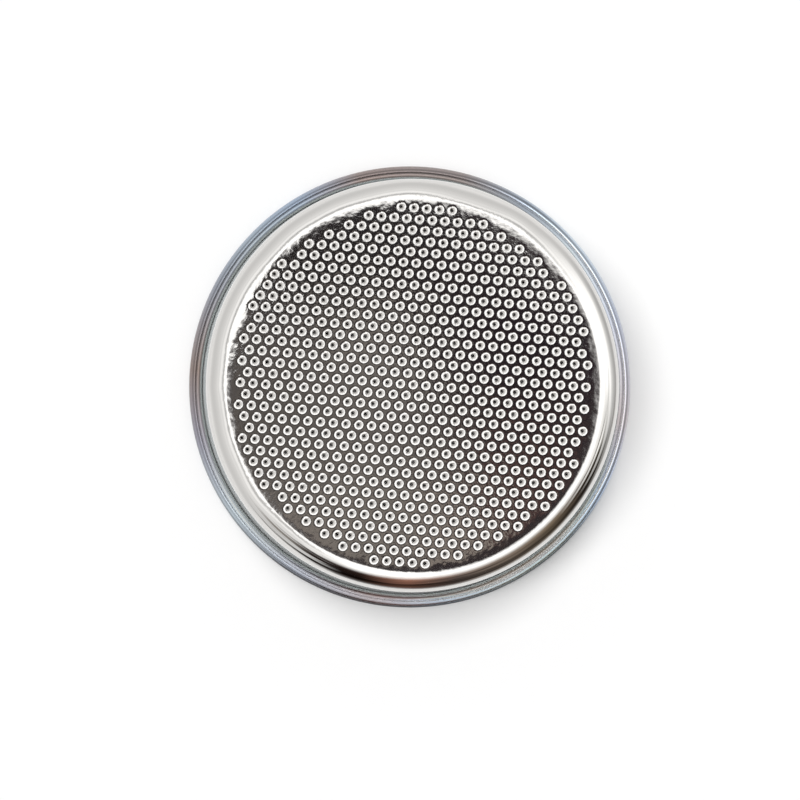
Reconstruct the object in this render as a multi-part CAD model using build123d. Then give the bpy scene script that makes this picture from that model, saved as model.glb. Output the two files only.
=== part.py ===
from build123d import *

import math
import os

# A pressed and perforated espresso filter basket, standing on its rim with its floor up.
# Z is the axis, z = 0 is the sealing face of the rim, and lengths are in millimetres.

# Sheet and overall sizes
SHEET = 0.5
RIM_DIAMETER = 70.0
TOTAL_HEIGHT = 24.5

# Wall: straight from the mouth to the rib, then tapering in to the floor
MOUTH_BORE = 58.8
WALL_TAPER = 1.4  # degrees
FLOOR_BEND = 3.6  # radius outside, between wall and floor

# Spring rib pressed outward round the wall
RIB_FROM_RIM = 7.5
RIB_HEIGHT = 0.5
RIB_WIDTH = 2.6

# Rim: a flat flange whose outer edge is rolled back over it
MOUTH_LIP = 1.2  # radius inside, between wall and flange
CURL_RADIUS = 1.0
CURL_TURN = 270.0  # degrees

# Perforation: flared holes on a grid of equal triangles, wide at the outside of the floor
HOLE_PITCH = 1.8
HOLE_DIAMETER = 0.45
FLARE_DIAMETER = 1.25
FIELD_MARGIN = 0.7  # from the edge of the flat floor to the outermost hole centres
HOLE_SIDES = 6
CUT_PAST = 0.1  # how far the cutting shapes run past both faces of the sheet

MOUTH_RADIUS = MOUTH_BORE / 2
SLANT = math.radians(WALL_TAPER)
RIB_TURN = 2 * math.atan(2 * RIB_HEIGHT / RIB_WIDTH)
RIB_ARC = RIB_WIDTH / 4 / math.sin(RIB_TURN)
RIB_START = RIB_FROM_RIM - RIB_WIDTH / 2
TAPER_START = RIB_START + RIB_ARC * (4 * math.sin(RIB_TURN) - math.sin(SLANT))


def line_on(path, length):
    return Line(path @ 1, path @ 1 + path % 1 * length)


def arc_on(path, radius, turn):
    return JernArc(path @ 1, path % 1, radius, math.degrees(turn))


# One face of the sheet, depth below its outer face, as lines from the rolled edge to the axis
def sheet_face(depth):
    curl_centre = (RIM_DIAMETER / 2 - CURL_RADIUS, CURL_RADIUS)
    curl = CenterArc(curl_centre, CURL_RADIUS - SHEET + depth, CURL_TURN - 90, -CURL_TURN)
    flange = Line(curl @ 1, (MOUTH_RADIUS + MOUTH_LIP, SHEET - depth))
    lip = arc_on(flange, MOUTH_LIP - SHEET + depth, -math.pi / 2)
    straight = line_on(lip, RIB_START - MOUTH_LIP)
    rib_out = arc_on(straight, RIB_ARC + depth, -RIB_TURN)
    rib_crest = arc_on(rib_out, RIB_ARC - depth, 2 * RIB_TURN)
    rib_in = arc_on(rib_crest, RIB_ARC + depth, SLANT - RIB_TURN)
    bend_height = FLOOR_BEND * (1 - math.sin(SLANT))
    taper = line_on(rib_in, (TOTAL_HEIGHT - bend_height - TAPER_START) / math.cos(SLANT))
    bend = arc_on(taper, FLOOR_BEND - depth, math.pi / 2 - SLANT)
    floor = Line(bend @ 1, (0, TOTAL_HEIGHT - depth))
    return [curl, flange, lip, straight, rib_out, rib_crest, rib_in, taper, bend, floor]


def pressed_sheet():
    outside = sheet_face(0)
    inside = sheet_face(SHEET)
    cut_edge = Line(outside[0] @ 0, inside[0] @ 0)
    axis = Line(outside[-1] @ 1, inside[-1] @ 1)
    section = make_face([*outside, *inside, cut_edge, axis])
    return revolve(Plane.XZ * section, Axis.Z)


# The six outermost places straight along the rows have no hole
def hole_places():
    field_radius = (sheet_face(0)[-1] @ 0).X - FIELD_MARGIN
    reach = math.ceil(2 * field_radius / HOLE_PITCH)
    places = []
    for row in range(-reach, reach + 1):
        for step in range(-reach, reach + 1):
            x = (step + row / 2) * HOLE_PITCH
            y = row * math.sin(math.pi / 3) * HOLE_PITCH
            distance = math.hypot(x, y)
            on_main_row = 0 in (row, step, row + step)
            edge_left_out = on_main_row and distance > field_radius - HOLE_PITCH / 2
            if distance < field_radius and not edge_left_out:
                places.append(Pos(x, y, 0))
    return places


def hole_cutter():
    flare = (FLARE_DIAMETER - HOLE_DIAMETER) / 2 / SHEET
    wide = RegularPolygon(FLARE_DIAMETER / 2 + flare * CUT_PAST, HOLE_SIDES, rotation=30)
    narrow = RegularPolygon(HOLE_DIAMETER / 2 - flare * CUT_PAST, HOLE_SIDES, rotation=30)
    wide_end = Pos(0, 0, TOTAL_HEIGHT + CUT_PAST) * wide
    narrow_end = Pos(0, 0, TOTAL_HEIGHT - SHEET - CUT_PAST) * narrow
    return ConvexPolyhedron([*wide_end.vertices(), *narrow_end.vertices()])


def filter_basket():
    cutter = hole_cutter()
    return pressed_sheet() - [place * cutter for place in hole_places()]


os.makedirs("parts", exist_ok=True)
export_step(filter_basket(), "parts/filter_basket.step", write_pcurves=False)
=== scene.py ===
import math

import bpy
from mathutils import Matrix, Vector


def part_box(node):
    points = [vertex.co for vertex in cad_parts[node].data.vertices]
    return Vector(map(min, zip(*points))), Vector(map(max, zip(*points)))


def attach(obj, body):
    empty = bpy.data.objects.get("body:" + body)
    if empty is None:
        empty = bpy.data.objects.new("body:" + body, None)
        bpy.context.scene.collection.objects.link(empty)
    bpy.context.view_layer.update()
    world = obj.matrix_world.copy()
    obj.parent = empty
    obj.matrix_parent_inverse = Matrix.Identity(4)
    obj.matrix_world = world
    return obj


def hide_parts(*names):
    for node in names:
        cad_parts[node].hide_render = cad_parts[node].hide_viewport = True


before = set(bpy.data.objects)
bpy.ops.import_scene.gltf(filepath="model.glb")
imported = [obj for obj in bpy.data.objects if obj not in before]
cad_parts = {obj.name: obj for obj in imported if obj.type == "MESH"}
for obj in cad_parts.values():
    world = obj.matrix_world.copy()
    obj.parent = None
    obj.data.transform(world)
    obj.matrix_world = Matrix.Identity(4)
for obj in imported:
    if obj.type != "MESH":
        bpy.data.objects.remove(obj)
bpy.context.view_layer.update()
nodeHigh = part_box("filter_basket")[1]
mm = 0.001
rimRadius = nodeHigh.x / mm
basketHeight = nodeHigh.z / mm
print("frame loaded, rim radius", round(rimRadius, 2), "height", round(basketHeight, 2))


# general helpers

def linear(hexColour):
    # sRGB hex to the linear RGBA that nodes expect
    channels = [int(hexColour[i:i + 2], 16) / 255 for i in (1, 3, 5)]
    curve = [c / 12.92 if c <= 0.04045 else ((c + 0.055) / 1.055) ** 2.4 for c in channels]
    return (*curve, 1.0)


def grey(level):
    return (level, level, level, 1.0)


def addNode(tree, kind, settings=None, values=None, links=None):
    # settings are the node's own properties, values its sockets, links the outputs that feed its sockets
    node = tree.nodes.new("ShaderNode" + kind)
    for name, value in (settings or {}).items():
        setattr(node, name, value)
    for name, value in (values or {}).items():
        node.inputs[name].default_value = value
    for name, output in (links or {}).items():
        tree.links.new(output, node.inputs[name])
    return node


def setRamp(ramp, stops, first, last):
    # stops are (place, grey level or hex colour) in order; first and last are the places of the ramp's ends
    elements = ramp.color_ramp.elements
    positions = [(stop[0] - first) / (last - first) for stop in stops]
    elements[0].position, elements[1].position = positions[0], positions[-1]    # a new ramp has two
    for position in positions[1:-1]:
        elements.new(position)
    for element, (place, value) in zip(elements, stops):
        element.color = linear(value) if isinstance(value, str) else grey(value)


def deselectAll():
    bpy.ops.object.select_all(action="DESELECT")


def makeActive(obj):
    deselectAll()
    obj.select_set(True)
    bpy.context.view_layer.objects.active = obj


def editMode(on):
    bpy.ops.object.mode_set(mode="EDIT" if on else "OBJECT")


def drawRings(name, corners, rings):
    # a circle, extruded from ring to ring; each ring is (radius, height) in mm
    deselectAll()
    radius, height = rings[0]
    bpy.ops.mesh.primitive_circle_add(vertices=corners, radius=radius * mm)
    obj = bpy.context.object
    obj.name = name
    editMode(True)
    bpy.ops.mesh.select_all(action="SELECT")
    bpy.ops.transform.translate(value=(0, 0, height * mm))
    for nextRadius, nextHeight in rings[1:]:
        bpy.ops.mesh.extrude_region()
        grow = nextRadius / radius
        bpy.ops.transform.resize(value=(grow, grow, 1), center_override=(0, 0, 0))
        bpy.ops.transform.translate(value=(0, 0, (nextHeight - height) * mm))
        radius, height = nextRadius, nextHeight
    editMode(False)
    return obj


# the pressed sheet: wall, rib, flange and rolled rim

sheetShape = {                  # mm and degrees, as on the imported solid
    "sheet": 0.5,
    "mouthBore": 58.8,
    "wallTaper": 1.4,
    "floorBend": 3.6,
    "ribFromRim": 7.5,
    "ribHeight": 0.5,
    "ribWidth": 2.6,
    "mouthLip": 1.2,
    "curlRadius": 1.0,
    "curlTurn": 270.0,
    "corners": 160,             # round each ring of vertices
    "turnPerRing": 9.0,         # degrees of a bend between two rings
    "turnOfFloorBend": 6.0,     # finer, because this bend carries the bright band
    "floorBendEnd": 6.0,        # the last turn of it, in two rings
    "flangeParts": 2,
    "wallParts": 2,
    "taperParts": 3,
}


def sheetFace(depth):
    # one face of the sheet, depth below the outer one, from the rolled edge to the flat floor
    s = sheetShape
    mouthRadius = s["mouthBore"] / 2
    slant = math.radians(s["wallTaper"])
    ribTurn = 2 * math.atan(2 * s["ribHeight"] / s["ribWidth"])
    ribArc = s["ribWidth"] / 4 / math.sin(ribTurn)
    ribStart = s["ribFromRim"] - s["ribWidth"] / 2
    taperStart = ribStart + ribArc * (4 * math.sin(ribTurn) - math.sin(slant))
    bendHeight = s["floorBend"] * (1 - math.sin(slant))
    bendEnd = math.radians(s["floorBendEnd"])
    curlCentre = rimRadius - s["curlRadius"]
    curl = s["curlRadius"] - s["sheet"] + depth
    edgeAngle = math.radians(s["curlTurn"] - 90)
    pen = {
        "r": curlCentre + curl * math.cos(edgeAngle),
        "z": s["curlRadius"] + curl * math.sin(edgeAngle),
        "heading": edgeAngle - math.pi / 2,
    }
    points = [(pen["r"], pen["z"])]

    def arc(radius, turn, perRing=s["turnPerRing"]):
        # a positive turn goes left; the centre lies on that side
        count = max(2, math.ceil(abs(math.degrees(turn)) / perRing))
        side = math.copysign(1, turn)
        centreR = pen["r"] - side * radius * math.sin(pen["heading"])
        centreZ = pen["z"] + side * radius * math.cos(pen["heading"])
        for k in range(1, count + 1):
            heading = pen["heading"] + turn * k / count
            points.append((centreR + side * radius * math.sin(heading),
                           centreZ - side * radius * math.cos(heading)))
        pen["heading"] += turn
        pen["r"], pen["z"] = points[-1]

    def straight(length, parts):
        for part in range(parts):
            pen["r"] += math.cos(pen["heading"]) * length / parts
            pen["z"] += math.sin(pen["heading"]) * length / parts
            points.append((pen["r"], pen["z"]))

    arc(curl, -math.radians(s["curlTurn"]))
    straight(curlCentre - mouthRadius - s["mouthLip"], s["flangeParts"])
    arc(s["mouthLip"] - s["sheet"] + depth, -math.pi / 2)
    straight(ribStart - s["mouthLip"], s["wallParts"])
    arc(ribArc + depth, -ribTurn)
    arc(ribArc - depth, 2 * ribTurn)
    arc(ribArc + depth, slant - ribTurn)
    straight((basketHeight - bendHeight - taperStart) / math.cos(slant), s["taperParts"])
    arc(s["floorBend"] - depth, math.pi / 2 - slant - bendEnd, s["turnOfFloorBend"])
    arc(s["floorBend"] - depth, bendEnd)
    return points


def makeSheet():
    outside = sheetFace(0)
    inside = sheetFace(sheetShape["sheet"])
    floorEdge = outside[-1][0]
    # the outside ends at the bend's last ring but one, and closeFloor fills the floor from there
    rings = [*reversed(outside[:-1]), *inside]
    sheet = drawRings("basket_sheet", sheetShape["corners"], rings)
    print("sheet drawn,", len(rings), "rings, floor edge", round(floorEdge, 2))
    return sheet, floorEdge


# the perforation: one dimpled hole, then rows of copies

holeShape = {                   # mm
    "pitch": 1.8,
    "fieldMargin": 0.7,         # floor edge to the outermost hole centres
    "corners": 12,
    "section": (                # (radius, depth, painted shade ring) from the inner face out to the flat floor
        (0.218, 0.500, 0),
        (0.223, 0.320, 0),
        (0.306, 0.245, 0),
        (0.372, 0.091, 0),
        (0.485, 0.046, 0),
        (0.640, 0.009, 0),
        (0.725, -0.001, 1),     # the punch leaves a low lip; the ring round the dimple is painted shade, where the lip mirrors the dark overhead
        (0.885, 0.000, 0),
    ),
    "neckFrom": 0.2,            # deeper than this the hole sits a little aside of its dimple
    "neckAside": (-0.045, 0.015),
}


def makeHole():
    section = holeShape["section"]
    rings = [(radius, basketHeight - depth) for radius, depth, mark in section]
    hole = drawRings("dimpled_hole", holeShape["corners"], rings)
    # where the painted shade ring lies round each dimple
    marks = hole.data.attributes.new("lipShade", "FLOAT", "POINT")
    for vertex, value in zip(hole.data.vertices, marks.data):
        fromCentre = vertex.co.xy.length / mm
        radius, depth, mark = min(section, key=lambda ring: abs(ring[0] - fromCentre))
        value.value = mark
        if depth > holeShape["neckFrom"]:
            vertex.co.xy += Vector(holeShape["neckAside"]) * mm
    return hole


def rowPlaces(row, fieldRadius):
    # centres in one row; the outermost places straight along the three main rows stay empty
    pitch = holeShape["pitch"]
    reach = math.ceil(2 * fieldRadius / pitch)
    y = row * math.sin(math.pi / 3) * pitch
    places = []
    for step in range(-reach, reach + 1):
        x = (step + row / 2) * pitch
        distance = math.hypot(x, y)
        onMainRow = 0 in (row, step, row + step)
        edgeLeftOut = onMainRow and distance > fieldRadius - pitch / 2
        if distance < fieldRadius and not edgeLeftOut:
            places.append((x, y))
    return places


def makeField(floorEdge):
    pitch = holeShape["pitch"]
    fieldRadius = floorEdge - holeShape["fieldMargin"]
    lastRow = math.floor(fieldRadius / (math.sin(math.pi / 3) * pitch))
    hole = makeHole()
    strips = []
    holes = 0
    for row in range(-lastRow, lastRow + 1):
        places = rowPlaces(row, fieldRadius)
        if not places:
            continue
        makeActive(hole)
        bpy.ops.object.duplicate()
        strip = bpy.context.object
        strip.location = (places[0][0] * mm, places[0][1] * mm, 0)
        bpy.ops.object.transform_apply(location=True, rotation=False, scale=False)
        array = strip.modifiers.new("row", "ARRAY")
        array.use_relative_offset = False
        array.use_constant_offset = True
        array.constant_offset_displace = (pitch * mm, 0, 0)
        array.count = len(places)
        bpy.ops.object.modifier_apply(modifier="row")
        strips.append(strip)
        holes += len(places)
    bpy.data.objects.remove(hole)
    print("perforation laid out,", holes, "holes")
    return strips


basketShape = {                 # how sheet and holes are joined
    "sameVertex": 2e-6,         # m, closer corners are one
    "sameHeight": 1e-4,         # m, open edges this near to a face's height belong to it
    "smoothTo": 40,             # degrees, sharper edges stay sharp
}


def closeFloor(basket, height):
    # fills between the holes and the edge of the floor, on the face at this height
    mesh = basket.data
    uses = {}
    for face in mesh.polygons:
        for key in face.edge_keys:
            uses[key] = uses.get(key, 0) + 1
    editMode(True)
    bpy.ops.mesh.select_mode(type="EDGE")
    bpy.ops.mesh.select_all(action="DESELECT")
    editMode(False)
    for edge in mesh.edges:
        offHeight = max(abs(mesh.vertices[corner].co.z - height * mm) for corner in edge.vertices)
        edge.select = uses[edge.key] == 1 and offHeight < basketShape["sameHeight"]
    editMode(True)
    bpy.ops.mesh.fill(use_beauty=True)
    editMode(False)


def makeBasket():
    sheet, floorEdge = makeSheet()
    strips = makeField(floorEdge)
    makeActive(sheet)
    for strip in strips:
        strip.select_set(True)
    bpy.ops.object.join()
    basket = bpy.context.object
    basket.name = "pressed_basket"
    editMode(True)
    bpy.ops.mesh.select_all(action="SELECT")
    bpy.ops.mesh.remove_doubles(threshold=basketShape["sameVertex"])
    editMode(False)
    closeFloor(basket, basketHeight)
    closeFloor(basket, basketHeight - sheetShape["sheet"])
    editMode(True)
    bpy.ops.mesh.select_all(action="SELECT")
    bpy.ops.mesh.normals_make_consistent(inside=False)
    editMode(False)
    bpy.ops.object.shade_smooth_by_angle(angle=math.radians(basketShape["smoothTo"]))
    print("basket joined,", len(basket.data.polygons), "faces")
    return basket


# materials

steelLook = {                   # lengths in mm, places as distances from the axis
    "colour": "#D8D6D3",        # stainless steel, slightly warm
    "flangeColour": "#CDD3D4",
    "paintedRimReflections": (                  # (degrees round from the row direction, colour), painted reflections: the rim's colour and brightness by the turn round it
        (-180, "#8F827D"), (-161, "#A4A3AE"), (-140, "#CEDAE2"), (-116, "#C2C7D3"), (-95, "#C6BEC1"),
        (-76, "#D4E2F2"), (-60, "#ECFAFF"), (-46, "#EAFCFF"), (-26, "#D4E6FF"), (-5, "#CBC4C8"),
        (22, "#BFC5D4"), (45, "#CAD6E2"), (62, "#A9B3C0"), (80, "#918988"), (108, "#918582"),
        (126, "#9BA8BA"), (142, "#A1ABB6"), (158, "#9497A0"), (180, "#8F827D"),
    ),
    "lipShadeLevel": 0.42,     # painted shade of the ring round each dimple, where the metal beside it is 1

    # zones of the sheet: nothing at the first place, all at the second
    "onFloor": (27.3, 26.3),
    "onMargin": (24.6, 25.6),
    "onFlange": (30.5, 30.9),   # flange and rolled rim are turned
    "onBead": (33.1, 33.3),     # painted reflection colours and lines lie on the rolled rim alone
    "fieldEdge": 26.0,          # no hole lies further out

    # roughness
    "margin": (24.0, 28.0),     # ends of the next list
    "marginDull": ((24.0, 0.06), (25.2, 0.07), (26.2, 0.10), (26.8, 0.10), (27.4, 0.07), (28.0, 0.06)),
    "holeDull": (               # (depth, roughness of the torn metal)
        (0.0, 0.0), (0.235, 0.0), (0.25, 0.62), (0.47, 0.62), (0.5, 0.0),
    ),
    "turnedRoughness": 0.27,

    # relief
    "waveSize": 2.6,            # soft waves that drawing leaves in the floor
    "waveHeight": 0.010,
    "markSize": 0.45,           # polishing marks, drawn coarser, because real ones are too fine to show
    "markHeight": 0.014,
    "marksOnMargin": 0.4,       # share of them that the margin has
    "rippleSize": 0.90,         # on the margin, where the floor was held while it was drawn
    "rippleHeight": 0.018,
    "lineSize": 0.3,            # turning lines, drawn coarser too: real ones are about 0.05
    "lineHeight": 0.002,

    # painted shades, highlights and reflections on the rolled rim
    "lineContrast": (0.38, 0.62),   # stretch of the noise that the turning lines use
    "lineShade": (0.78, 1.14),  # painted shade and highlight: a turned groove looks darker or lighter than the metal beside it
    "bead": (33.0, 35.0),       # ends of the next three lists
    "ringReflectionsNear": (              # the wider turned rings with their painted reflection and shade, on the side that faces the lower right
        (33.0, 1.0), (33.18, 1.6), (33.3, 1.5), (33.42, 1.25), (33.55, 1.35), (33.8, 1.5),
        (33.93, 1.5), (34.04, 1.05), (34.14, 0.5), (34.24, 0.5), (34.36, 0.75), (34.5, 0.82),
        (34.6, 0.7), (34.69, 0.3), (34.78, 0.04), (34.92, 0.03), (34.98, 0.25),
    ),
    "ringReflectionsFar": (               # their painted reflection and shade on the side that faces the upper left
        (33.0, 1.0), (33.2, 0.8), (33.33, 1.25), (33.42, 1.8), (33.5, 2.2), (33.6, 1.7),
        (33.68, 0.9), (33.76, 0.66), (33.86, 0.8), (33.98, 1.0), (34.08, 0.8), (34.2, 0.6),
        (34.3, 0.7), (34.45, 1.25), (34.6, 1.35), (34.8, 1.2), (34.97, 0.85),
    ),
    "ringReflectionsRight": (             # and their painted reflection and shade on the side that faces the upper right
        (33.0, 1.0), (33.2, 1.3), (33.35, 1.6), (33.42, 1.5), (33.52, 1.0), (33.62, 0.72),
        (33.72, 1.0), (33.82, 1.6), (33.92, 1.75), (34.02, 1.7), (34.12, 1.3), (34.2, 0.62),
        (34.32, 0.38), (34.5, 0.6), (34.6, 0.85), (34.7, 1.15), (34.8, 1.1), (34.97, 0.88),
    ),
    # (degrees round from the row direction, share): near rings against far ones, then right ones against both
    "nearShare": ((-180, 0.1), (-150, 0.5), (-120, 1), (-25, 1), (0, 0), (165, 0), (180, 0.1)),
    "rightShare": ((-180, 0), (-40, 0), (-18, 1), (62, 1), (82, 0), (180, 0)),
}


def polishedStainless():
    # 18/10 stainless sheet, deep drawn and polished: nearly a mirror, with fine turned lines on its rim
    look = steelLook
    material = bpy.data.materials.new("polished_stainless")
    material.use_nodes = True
    tree = material.node_tree
    shader = tree.nodes["Principled BSDF"]
    shader.inputs["Metallic"].default_value = 1.0
    place = addNode(tree, "TexCoord").outputs["Object"]
    split = addNode(tree, "SeparateXYZ", links={"Vector": place})
    x, y, z = (split.outputs[axis] for axis in "XYZ")
    flat = addNode(tree, "CombineXYZ", links={"X": x, "Y": y})
    radius = addNode(tree, "VectorMath", {"operation": "LENGTH"}, links={0: flat.outputs[0]}).outputs["Value"]
    turn = addNode(tree, "Math", {"operation": "ARCTAN2"}, links={0: y, 1: x}).outputs[0]

    zones = {}
    for name in ("onFloor", "onMargin", "onFlange", "onBead"):
        start, full = look[name]
        zone = addNode(tree, "MapRange", {"interpolation_type": "SMOOTHSTEP"},
                       {"From Min": start * mm, "From Max": full * mm}, {"Value": radius})
        zones[name] = zone.outputs[0]

    # ramps: what they follow, from where to where, the same ends as their stops count them, and their names
    sheet, bead, margin = sheetShape["sheet"], look["bead"], look["margin"]
    ramps = {}
    for follows, low, high, ends, names in (
        (turn, -math.pi, math.pi, (-180, 180), ("paintedRimReflections", "nearShare", "rightShare")),
        (radius, bead[0] * mm, bead[1] * mm, bead, ("ringReflectionsNear", "ringReflectionsFar", "ringReflectionsRight")),
        (radius, margin[0] * mm, margin[1] * mm, margin, ("marginDull",)),
        (z, basketHeight * mm, (basketHeight - sheet) * mm, (0, sheet), ("holeDull",)),
    ):
        share = addNode(tree, "MapRange", {}, {"From Min": low, "From Max": high}, {"Value": follows})
        for name in names:
            ramp = addNode(tree, "ValToRGB", links={"Fac": share.outputs[0]})
            setRamp(ramp, look[name], *ends)
            ramps[name] = ramp.outputs["Color"]

    # colour: bare steel, and painted reflection colours round the rolled rim
    bare = addNode(tree, "Mix", {"data_type": "RGBA"},
                   {"A": linear(look["colour"]), "B": linear(look["flangeColour"])},
                   {"Factor": zones["onFlange"]})
    reflectionTinted = addNode(tree, "Mix", {"data_type": "RGBA"},
                     links={"Factor": zones["onBead"], "A": bare.outputs["Result"], "B": ramps["paintedRimReflections"]})

    # shade: painted reflection and shade of the rings and lines on the rolled rim, and the painted shade ring
    # round each dimple
    lines = addNode(tree, "TexNoise", {"noise_dimensions": "1D"},
                    {"Scale": 1 / (look["lineSize"] * mm), "Detail": 1.0}, {"W": radius})
    contrast, lineShade = look["lineContrast"], look["lineShade"]
    shadedLines = addNode(tree, "MapRange", {},
                          {"From Min": contrast[0], "From Max": contrast[1],
                           "To Min": lineShade[0], "To Max": lineShade[1]}, {"Value": lines.outputs["Fac"]})
    # painted reflection and shade of the rim's rings, blended from side to side by the turn round it
    leftRings = addNode(tree, "Mix",
                        links={"Factor": ramps["nearShare"],
                               "A": ramps["ringReflectionsFar"], "B": ramps["ringReflectionsNear"]})
    rings = addNode(tree, "Mix",
                    links={"Factor": ramps["rightShare"],
                           "A": leftRings.outputs[0], "B": ramps["ringReflectionsRight"]})
    beadShade = addNode(tree, "Math", {"operation": "MULTIPLY"},
                        links={0: rings.outputs[0], 1: shadedLines.outputs[0]})
    rimShade = addNode(tree, "Mix", {}, {"A": 1.0}, {"Factor": zones["onBead"], "B": beadShade.outputs[0]})
    # the painted shade ring round each dimple
    mark = addNode(tree, "Attribute", {"attribute_name": "lipShade"})
    markShade = addNode(tree, "Mix", {}, {"A": 1.0, "B": look["lipShadeLevel"]},
                        {"Factor": mark.outputs["Fac"]})
    shade = addNode(tree, "Math", {"operation": "MULTIPLY"},
                    links={0: rimShade.outputs[0], 1: markShade.outputs[0]})
    shaded = addNode(tree, "VectorMath", {"operation": "SCALE"},
                     links={0: reflectionTinted.outputs["Result"], "Scale": shade.outputs[0]})
    tree.links.new(shaded.outputs[0], shader.inputs["Base Color"])

    # roughness: polished, but the margin is a little dull and the torn metal in the holes much more
    inField = addNode(tree, "Math", {"operation": "LESS_THAN"}, {1: look["fieldEdge"] * mm}, {0: radius})
    floorRoughness = addNode(tree, "Math", {"operation": "MULTIPLY_ADD"},
                             links={0: ramps["holeDull"], 1: inField.outputs[0], 2: ramps["marginDull"]})
    roughness = addNode(tree, "Mix", {}, {"B": look["turnedRoughness"]},
                        {"Factor": zones["onFlange"], "A": floorRoughness.outputs[0]})
    tree.links.new(roughness.outputs[0], shader.inputs["Roughness"])

    # relief: waves, polishing marks and ripples on the floor, turning lines on the rim
    noises = {"line": lines.outputs["Fac"]}
    for name, detail in (("wave", 1.0), ("mark", 2.0), ("ripple", 0.5)):
        noise = addNode(tree, "TexNoise", {}, {"Scale": 1 / (look[name + "Size"] * mm), "Detail": detail},
                        {"Vector": place})
        noises[name] = noise.outputs["Fac"]
    heights = {}
    for name in ("wave", "ripple", "line"):
        height = addNode(tree, "Math", {"operation": "MULTIPLY"}, {1: look[name + "Height"] * mm},
                         {0: noises[name]})
        heights[name] = height.outputs[0]
    marksHeight = look["markHeight"] * mm
    marksScale = addNode(tree, "MapRange", {},
                         {"To Min": marksHeight, "To Max": marksHeight * look["marksOnMargin"]},
                         {"Value": zones["onMargin"]})
    wavesAndMarks = addNode(tree, "Math", {"operation": "MULTIPLY_ADD"},
                            links={0: noises["mark"], 1: marksScale.outputs[0], 2: heights["wave"]})
    withRipples = addNode(tree, "Math", {"operation": "MULTIPLY_ADD"},
                          links={0: heights["ripple"], 1: zones["onMargin"], 2: wavesAndMarks.outputs[0]})
    floorRelief = addNode(tree, "Math", {"operation": "MULTIPLY"},
                          links={0: withRipples.outputs[0], 1: zones["onFloor"]})
    relief = addNode(tree, "Math", {"operation": "MULTIPLY_ADD"},
                     links={0: heights["line"], 1: zones["onBead"], 2: floorRelief.outputs[0]})
    bump = addNode(tree, "Bump", {}, {"Distance": 1.0}, {"Height": relief.outputs[0]})
    tree.links.new(bump.outputs[0], shader.inputs["Normal"])
    print("steel made,", len(tree.nodes), "nodes")
    return material


# stage: camera, table, lamps and surroundings

viewShape = {                   # the photograph's viewpoint, from the centre of the rim
    "place": (-4.06, -1.82, 207.03),    # mm, image right, image up, towards the camera
    "turn": (-1.43, 0.21, -0.15),       # degrees, as one rotation vector
    "rowTurn": 4.31,            # the rows of holes run down to the right by this angle
    "focal": 1298.1,            # pixels of an 800 pixel frame
    "centre": (389.0, 365.0),   # pixels from the frame's left and top to where the lens axis meets it
    "frame": 800.0,
    "sensor": 36.0,             # mm
    "clip": (0.01, 10.0),       # m
}


def makeCamera():
    v = viewShape
    data = bpy.data.cameras.new("view")
    camera = bpy.data.objects.new("view", data)
    bpy.context.scene.collection.objects.link(camera)
    data.sensor_width = v["sensor"]
    data.lens = v["focal"] / v["frame"] * v["sensor"]
    data.shift_x = 0.5 - v["centre"][0] / v["frame"]
    data.shift_y = v["centre"][1] / v["frame"] - 0.5
    data.clip_start, data.clip_end = v["clip"]
    axis = Vector(v["turn"])
    turn = Matrix.Rotation(math.radians(axis.length), 4, axis.normalized())
    rows = Matrix.Rotation(math.radians(v["rowTurn"]), 4, "Z")
    place = Matrix.Translation(Vector(v["place"]) * mm)
    camera.matrix_world = rows @ place @ turn.inverted()
    bpy.context.scene.camera = camera


stageLook = {
    "table": "#F6F6F6",
    "tableRadius": 1500.0,      # mm
    "mirroredTo": 78.0,         # mm, radius; the steel mirrors the table up to here and the room beyond it
    "corners": 64,
    "lamps": (100.0, 170.0),    # degrees from image right towards image up
    "lampPower": 1.08,
    "lampAngle": 15.0,          # degrees across, for a soft shadow
    "lampsFromZenith": 23.5,
    "ambient": 0.47,
}


def makeTable():
    # one table in two pieces, because the steel in the photograph shows only the near part of it
    s = stageLook
    # matt white tabletop: no gloss of its own, so that nothing but the soft shadow shows on it
    material = bpy.data.materials.new("table_white")
    material.use_nodes = True
    shader = material.node_tree.nodes["Principled BSDF"]
    shader.inputs["Base Color"].default_value = linear(s["table"])
    shader.inputs["Roughness"].default_value = 1.0
    shader.inputs["Specular IOR Level"].default_value = 0.0
    deselectAll()
    bpy.ops.mesh.primitive_circle_add(vertices=s["corners"], radius=s["mirroredTo"] * mm, fill_type="NGON")
    near = bpy.context.object
    near.name = "table_near"
    far = drawRings("table_far", s["corners"], [(s["mirroredTo"], 0), (s["tableRadius"], 0)])
    far.visible_glossy = False
    for table in (near, far):
        table.data.materials.append(material)


def makeLamps():
    s = stageLook
    tilt = math.radians(s["lampsFromZenith"])
    for number, lampAzimuth in enumerate(s["lamps"], 1):
        data = bpy.data.lights.new("lamp_%d" % number, "SUN")
        data.energy = s["lampPower"]
        data.angle = math.radians(s["lampAngle"])
        lamp = bpy.data.objects.new(data.name, data)
        bpy.context.scene.collection.objects.link(lamp)
        azimuth = math.radians(lampAzimuth + viewShape["rowTurn"])
        aside = math.sin(tilt)
        away = Vector((aside * math.cos(azimuth), aside * math.sin(azimuth), math.cos(tilt)))
        lamp.rotation_euler = away.to_track_quat("Z", "Y").to_euler()
        lamp.visible_glossy = False


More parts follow.
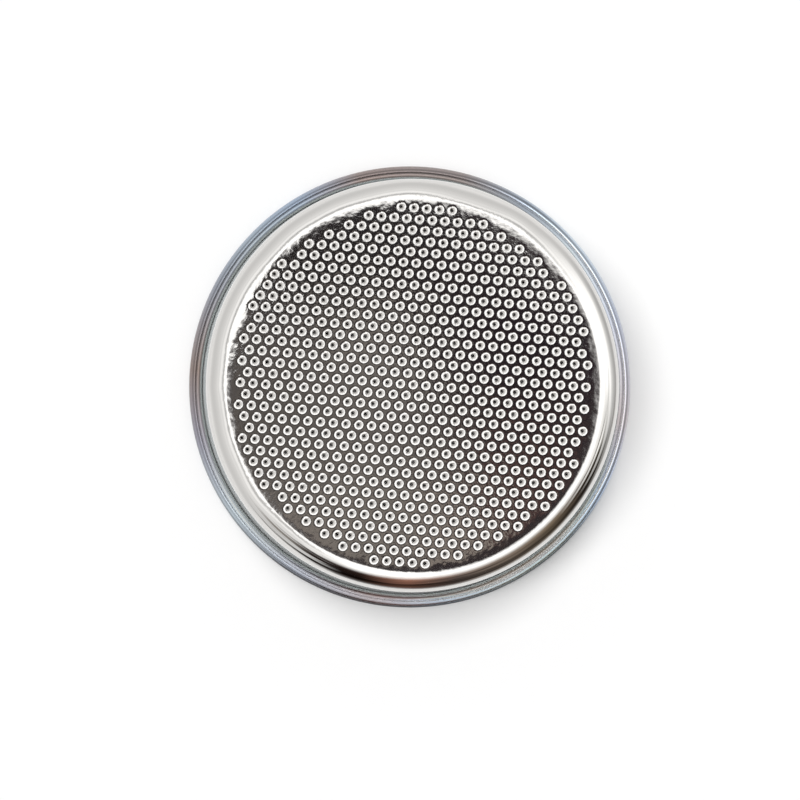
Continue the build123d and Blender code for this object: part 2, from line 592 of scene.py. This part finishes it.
surroundings = {                # what the polished steel mirrors
    # lists of (turn, value) go round from image right towards image up, -180 to 180 degrees,
    # and lists of (tilt, value) go down from straight up, 0 to 180 degrees

    "stirScale": 3.0,           # a little unevenness, so that no edge in the room is ruled
    "stir": 0.16,               # radians

    # the bright ceiling
    "ceilingFrom": (            # (turn, tilt of the middle of its soft edge)
        (-180, 12), (-165, 11.5), (-150, 11), (-135, 14), (-120, 15), (-105, 16), (-90, 16),
        (-76, 24), (-60, 28), (-45, 25), (-28, 23), (-14, 21), (0, 18), (15, 17), (30, 15),
        (45, 13), (60, 11.5), (90, 11), (105, 12), (122, 12), (131, 10.5), (137, 8),
        (160, 7.8), (167, 10.5), (180, 12),
    ),
    "ceilingSoft": (            # (turn, half the width of that edge)
        (-180, 2.5), (-150, 3), (-135, 4), (-90, 5), (-75, 7), (-15, 8), (15, 8), (32, 7),
        (50, 3), (90, 2), (131, 2), (137, 1), (160, 1), (167, 2), (180, 2.5),
    ),

    # brightness of the lighter and the darker wall, and the turns where the darker one shows
    "leftSide": (
        (0, 1.7), (29, 1.7), (34, 0.72), (39, 0.60), (42, 1.25), (48, 1.30), (53, 1.0), (58, 1.06),
        (64, 0.96), (79, 0.86), (90, 0.82), (100, 0.86), (110, 1.0), (120, 1.1), (142, 1.08),
        (155, 0.95), (180, 0.75),
    ),
    "rightSide": (
        (0, 1.7), (60, 1.7), (73, 1.5), (81, 1.0), (90, 0.74), (100, 0.57), (110, 0.61),
        (120, 0.85), (135, 1.05), (180, 1.1),
    ),
    "rightBetween": ((-180, 0), (-124, 0), (-108, 1), (25, 1), (50, 0), (180, 0)),
    "wanderScale": 11.0,        # the left wall's edges wander up and down on the way round
    "wanderNoise": (0.3, 0.7),
    "wander": 0.05,             # share of a half turn

    # the dark streaky wall towards the lower right: where it is by tilt, its shade, where it is by turn
    "darkSide": (
        (0, 0), (40, 0), (48, 0.5), (54, 0.94), (59, 1), (98, 1), (106, 0.8), (113, 0.2), (120, 0), (180, 0),
    ),
    "darkShade": (
        (0, 1.6), (53, 1.6), (61, 1.1), (76, 1.1), (83, 0.7), (89, 0.4), (98, 0.4), (107, 1.1), (180, 1.1),
    ),
    "darkBetween": ((-180, 0), (-134, 0), (-123, 1), (-100, 1), (-28, 1), (-16, 0.5), (2, 0), (180, 0)),
    "darkColours": (
        (-180, "#54504C"), (-128, "#7A7672"), (-120, "#302725"), (-104, "#30231E"), (-90, "#7A5648"),
        (-75, "#665A54"), (-60, "#766A60"), (-45, "#665A4C"), (-30, "#494038"), (-15, "#6A6658"),
        (180, "#54504C"),
    ),
    "streakScale": (9, 14, 1),  # streaks round and down
    "streakNoise": (0.35, 0.65),
    "streakShade": (0.35, 1.75),
    "streakyEnds": 0.035,       # share of a full turn by which its ends run in and out

    # straight overhead it is dark, with softer and lighter places
    "overhead": "#3A3335",
    "overheadPlaces": (         # (right, up, size) as slopes from straight up, colour
        (-0.050, -0.050, 0.150, "#6E6966"),
        (0.115, 0.040, 0.085, "#2C2429"),
        (0.105, -0.075, 0.070, "#584442"),
        (0.000, 0.135, 0.095, "#2C282A"),
        (-0.072, 0.100, 0.055, "#2A2626"),
        (-0.014, 0.047, 0.040, "#88827D"),
        (0.012, 0.004, 0.036, "#827D79"),
        (-0.096, -0.020, 0.050, "#645F5B"),
        (-0.017, -0.089, 0.050, "#8C8680"),
        (0.054, -0.115, 0.048, "#A1978F"),
        (-0.062, -0.130, 0.055, "#8E8680"),
    ),
    "placeCore": 0.45,          # share of a place's size that has its full colour
    "driftScale": 22.0,         # uneven edges of these places
    "drift": 0.06,              # slope
}


def makeWorld():
    s = surroundings
    world = bpy.data.worlds.new("studio")
    bpy.context.scene.world = world
    world.use_nodes = True
    tree = world.node_tree
    tree.nodes.clear()
    coords = addNode(tree, "TexCoord")
    level = addNode(tree, "VectorRotate", {"rotation_type": "Z_AXIS"},
                    {"Angle": math.radians(-viewShape["rowTurn"])}, {"Vector": coords.outputs["Generated"]})
    split = addNode(tree, "SeparateXYZ", links={"Vector": level.outputs[0]})
    x, y, z = (split.outputs[axis] for axis in "XYZ")

    # tilt from straight up and azimuth round it, both as shares from 0 to 1
    stirNoise = addNode(tree, "TexNoise", {}, {"Scale": s["stirScale"], "Detail": 2.0},
                        {"Vector": level.outputs[0]})
    zenith = addNode(tree, "Math", {"operation": "ARCCOSINE"}, links={0: z})
    stirred = addNode(tree, "Math", {"operation": "MULTIPLY_ADD"}, {1: s["stir"]},
                      {0: stirNoise.outputs["Fac"], 2: zenith.outputs[0]})
    tilt = addNode(tree, "MapRange", {}, {"From Min": s["stir"] / 2, "From Max": math.pi + s["stir"] / 2},
                   {"Value": stirred.outputs[0]}).outputs[0]
    around = addNode(tree, "Math", {"operation": "ARCTAN2"}, links={0: y, 1: x})
    azimuth = addNode(tree, "MapRange", {}, {"From Min": -math.pi, "From Max": math.pi},
                      {"Value": around.outputs[0]}).outputs[0]

    # the left wall's edges wander
    wanderNoise = addNode(tree, "TexNoise", {"noise_dimensions": "1D"},
                          {"Scale": s["wanderScale"], "Detail": 1.0}, {"W": azimuth})
    wander = addNode(tree, "MapRange", {},
                     {"From Min": s["wanderNoise"][0], "From Max": s["wanderNoise"][1],
                      "To Min": -s["wander"], "To Max": s["wander"]}, {"Value": wanderNoise.outputs["Fac"]})
    tiltLeft = addNode(tree, "Math", {"operation": "ADD"}, links={0: tilt, 1: wander.outputs[0]}).outputs[0]

    # streaks on the dark wall, and its streaky ends
    streakPlace = addNode(tree, "CombineXYZ", links={"X": azimuth, "Y": tilt})
    streakScaled = addNode(tree, "VectorMath", {"operation": "MULTIPLY"}, {1: s["streakScale"]},
                           {0: streakPlace.outputs[0]})
    streaks = addNode(tree, "TexNoise", {"noise_dimensions": "2D"}, {"Scale": 1.0, "Detail": 2.0},
                      {"Vector": streakScaled.outputs[0]})
    streakRanges = {}
    for name, low, high in (("shade", *s["streakShade"]), ("ends", -s["streakyEnds"], s["streakyEnds"])):
        streakRange = addNode(tree, "MapRange", {},
                              {"From Min": s["streakNoise"][0], "From Max": s["streakNoise"][1],
                               "To Min": low, "To Max": high}, {"Value": streaks.outputs["Fac"]})
        streakRanges[name] = streakRange.outputs[0]
    streakyAzimuth = addNode(tree, "Math", {"operation": "ADD"},
                             links={0: azimuth, 1: streakRanges["ends"]}).outputs[0]

    # brightness and colour along tilt and azimuth
    ramps = {}
    for follows, first, last, names in (
        (tiltLeft, 0, 180, ("leftSide",)),
        (tilt, 0, 180, ("rightSide", "darkSide", "darkShade")),
        (azimuth, -180, 180, ("rightBetween", "darkColours", "ceilingFrom", "ceilingSoft")),
        (streakyAzimuth, -180, 180, ("darkBetween",)),
    ):
        for name in names:
            ramp = addNode(tree, "ValToRGB", links={"Fac": follows})
            setRamp(ramp, s[name], first, last)
            ramps[name] = ramp.outputs["Color"]

    walls = addNode(tree, "Mix", {"data_type": "RGBA"},
                    links={"Factor": ramps["rightBetween"], "A": ramps["leftSide"], "B": ramps["rightSide"]})
    darkShade = addNode(tree, "Math", {"operation": "MULTIPLY"},
                        links={0: ramps["darkShade"], 1: streakRanges["shade"]})
    darkColour = addNode(tree, "VectorMath", {"operation": "SCALE"},
                         links={0: ramps["darkColours"], "Scale": darkShade.outputs[0]})
    darkPart = addNode(tree, "Math", {"operation": "MULTIPLY"},
                       links={0: ramps["darkSide"], 1: ramps["darkBetween"]})
    room = addNode(tree, "Mix", {"data_type": "RGBA"},
                   links={"Factor": darkPart.outputs[0],
                          "A": walls.outputs["Result"], "B": darkColour.outputs[0]})

    # the dark part straight overhead
    overX = addNode(tree, "Math", {"operation": "DIVIDE"}, links={0: x, 1: z})
    overY = addNode(tree, "Math", {"operation": "DIVIDE"}, links={0: y, 1: z})
    over = addNode(tree, "CombineXYZ", links={"X": overX.outputs[0], "Y": overY.outputs[0]})
    driftNoise = addNode(tree, "TexNoise", {"noise_dimensions": "2D"},
                         {"Scale": s["driftScale"], "Detail": 3.0}, {"Vector": over.outputs[0]})
    drift = addNode(tree, "VectorMath", {"operation": "MULTIPLY_ADD"},
                    {1: (s["drift"], s["drift"], 0), 2: (-s["drift"] / 2, -s["drift"] / 2, 0)},
                    {0: driftNoise.outputs["Color"]})
    drifted = addNode(tree, "VectorMath", {"operation": "ADD"},
                      links={0: over.outputs[0], 1: drift.outputs[0]})
    under = {}                  # the first place lies on the plain dark, each other one on the place before
    for right, up, size, colour in s["overheadPlaces"]:
        away = addNode(tree, "VectorMath", {"operation": "DISTANCE"}, {1: (right, up, 0)},
                       {0: drifted.outputs[0]})
        within = addNode(tree, "MapRange", {"interpolation_type": "SMOOTHSTEP"},
                         {"From Min": size, "From Max": size * s["placeCore"]},
                         {"Value": away.outputs["Value"]})
        placed = addNode(tree, "Mix", {"data_type": "RGBA"},
                         {"A": linear(s["overhead"]), "B": linear(colour)},
                         {"Factor": within.outputs[0], **under})
        under = {"A": placed.outputs["Result"]}

    # the ceiling between it and the walls
    tiltDegrees = addNode(tree, "Math", {"operation": "MULTIPLY"}, {1: 180.0}, {0: tilt})
    pastEdge = addNode(tree, "Math", {"operation": "SUBTRACT"},
                       links={0: tiltDegrees.outputs[0], 1: ramps["ceilingFrom"]})
    pastShare = addNode(tree, "Math", {"operation": "DIVIDE"},
                        links={0: pastEdge.outputs[0], 1: ramps["ceilingSoft"]})
    lit = addNode(tree, "MapRange", {"interpolation_type": "SMOOTHSTEP"}, {"From Min": -1.0, "From Max": 1.0},
                  {"Value": pastShare.outputs[0]})
    mirrored = addNode(tree, "Mix", {"data_type": "RGBA"},
                       links={"Factor": lit.outputs[0], "B": room.outputs["Result"], **under})

    # the steel mirrors the room, the camera sees white, and the rest is an even pale light
    path = addNode(tree, "LightPath")
    glossy = addNode(tree, "Mix", {"data_type": "RGBA"}, {"A": grey(stageLook["ambient"])},
                     {"Factor": path.outputs["Is Glossy Ray"], "B": mirrored.outputs["Result"]})
    seen = addNode(tree, "Mix", {"data_type": "RGBA"}, {"B": grey(1)},
                   {"Factor": path.outputs["Is Camera Ray"], "A": glossy.outputs["Result"]})
    background = addNode(tree, "Background", links={"Color": seen.outputs["Result"]})
    addNode(tree, "OutputWorld", links={"Surface": background.outputs[0]})
    print("surroundings made,", len(tree.nodes), "nodes")


basket = makeBasket()
basket.data.materials.clear()
basket.data.materials.append(polishedStainless())
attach(basket, "root")
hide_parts("filter_basket")
makeCamera()
makeTable()
makeLamps()
makeWorld()
bpy.context.scene.view_settings.view_transform = "Standard"
print("stage set")
